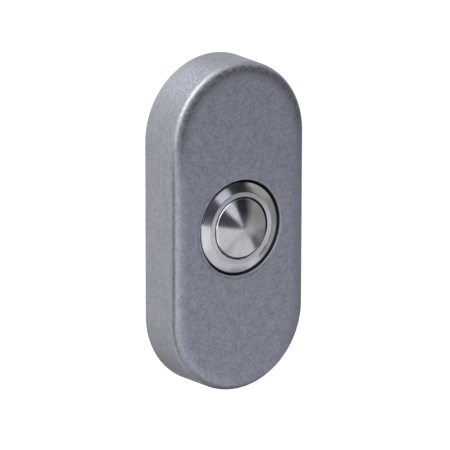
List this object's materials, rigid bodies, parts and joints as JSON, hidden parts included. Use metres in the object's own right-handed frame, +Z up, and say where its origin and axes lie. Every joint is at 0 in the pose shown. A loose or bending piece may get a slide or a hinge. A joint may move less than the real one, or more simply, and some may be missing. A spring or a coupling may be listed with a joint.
{
  "type": "doorbell button",
  "caption": "Surface-mounted doorbell button: oblong metal housing with rounded ends and a sunk round push button with a conical cap.",
  "frame": {"origin": "centre of the back of the housing on the wall plane, on the axis of the push button", "axes": "+Z up along the housing's length, +X to the right seen from the front, +Y into the wall; the face and the button look along -Y"},
  "size_m": [0.038, 0.0138, 0.08],
  "materials": {
    "housing_metal": "fine blasted and tumbled cast metal",
    "turned_steel": "turned with fine circular lines",
    "plated_steel": "dull zinc plating",
    "dark_steel": "black oxide",
    "spring_steel": "drawn spring wire and strip",
    "contact_brass": "bright stamped brass",
    "nickel_plate": "nickel plating",
    "black_plastic": "moulded, fine spark-eroded texture",
    "white_plastic": "moulded, smooth",
    "seal_rubber": "moulded rubber"
  },
  "bodies": {
    "housing": {"base_plate": "plated_steel", "bezel": "turned_steel", "clamp_washer_left": "contact_brass", "clamp_washer_right": "contact_brass", "cover": "housing_metal", "cover_screw": "dark_steel", "fixed_contact_left": "contact_brass", "fixed_contact_right": "contact_brass", "flange_seal": "seal_rubber", "lock_nut": "plated_steel", "lock_washer": "plated_steel", "retaining_ring": "spring_steel", "return_spring": "spring_steel", "switch_housing": "black_plastic", "terminal_screw_left": "nickel_plate", "terminal_screw_right": "nickel_plate"},
    "push_button": {"cap_seal": "seal_rubber", "contact_bridge": "contact_brass", "plunger": "white_plastic", "push_cap": "turned_steel", "stem_clip": "spring_steel"}
  },
  "joints": [
    {"name": "button_press", "type": "slide", "parent": "housing", "child": "push_button", "axis": [0, 1, 0], "range_m": [0, 0.0012], "stiffness_N_per_m": 1000, "springref_m": -0.002, "deforming": ["return_spring"]}
  ]
}
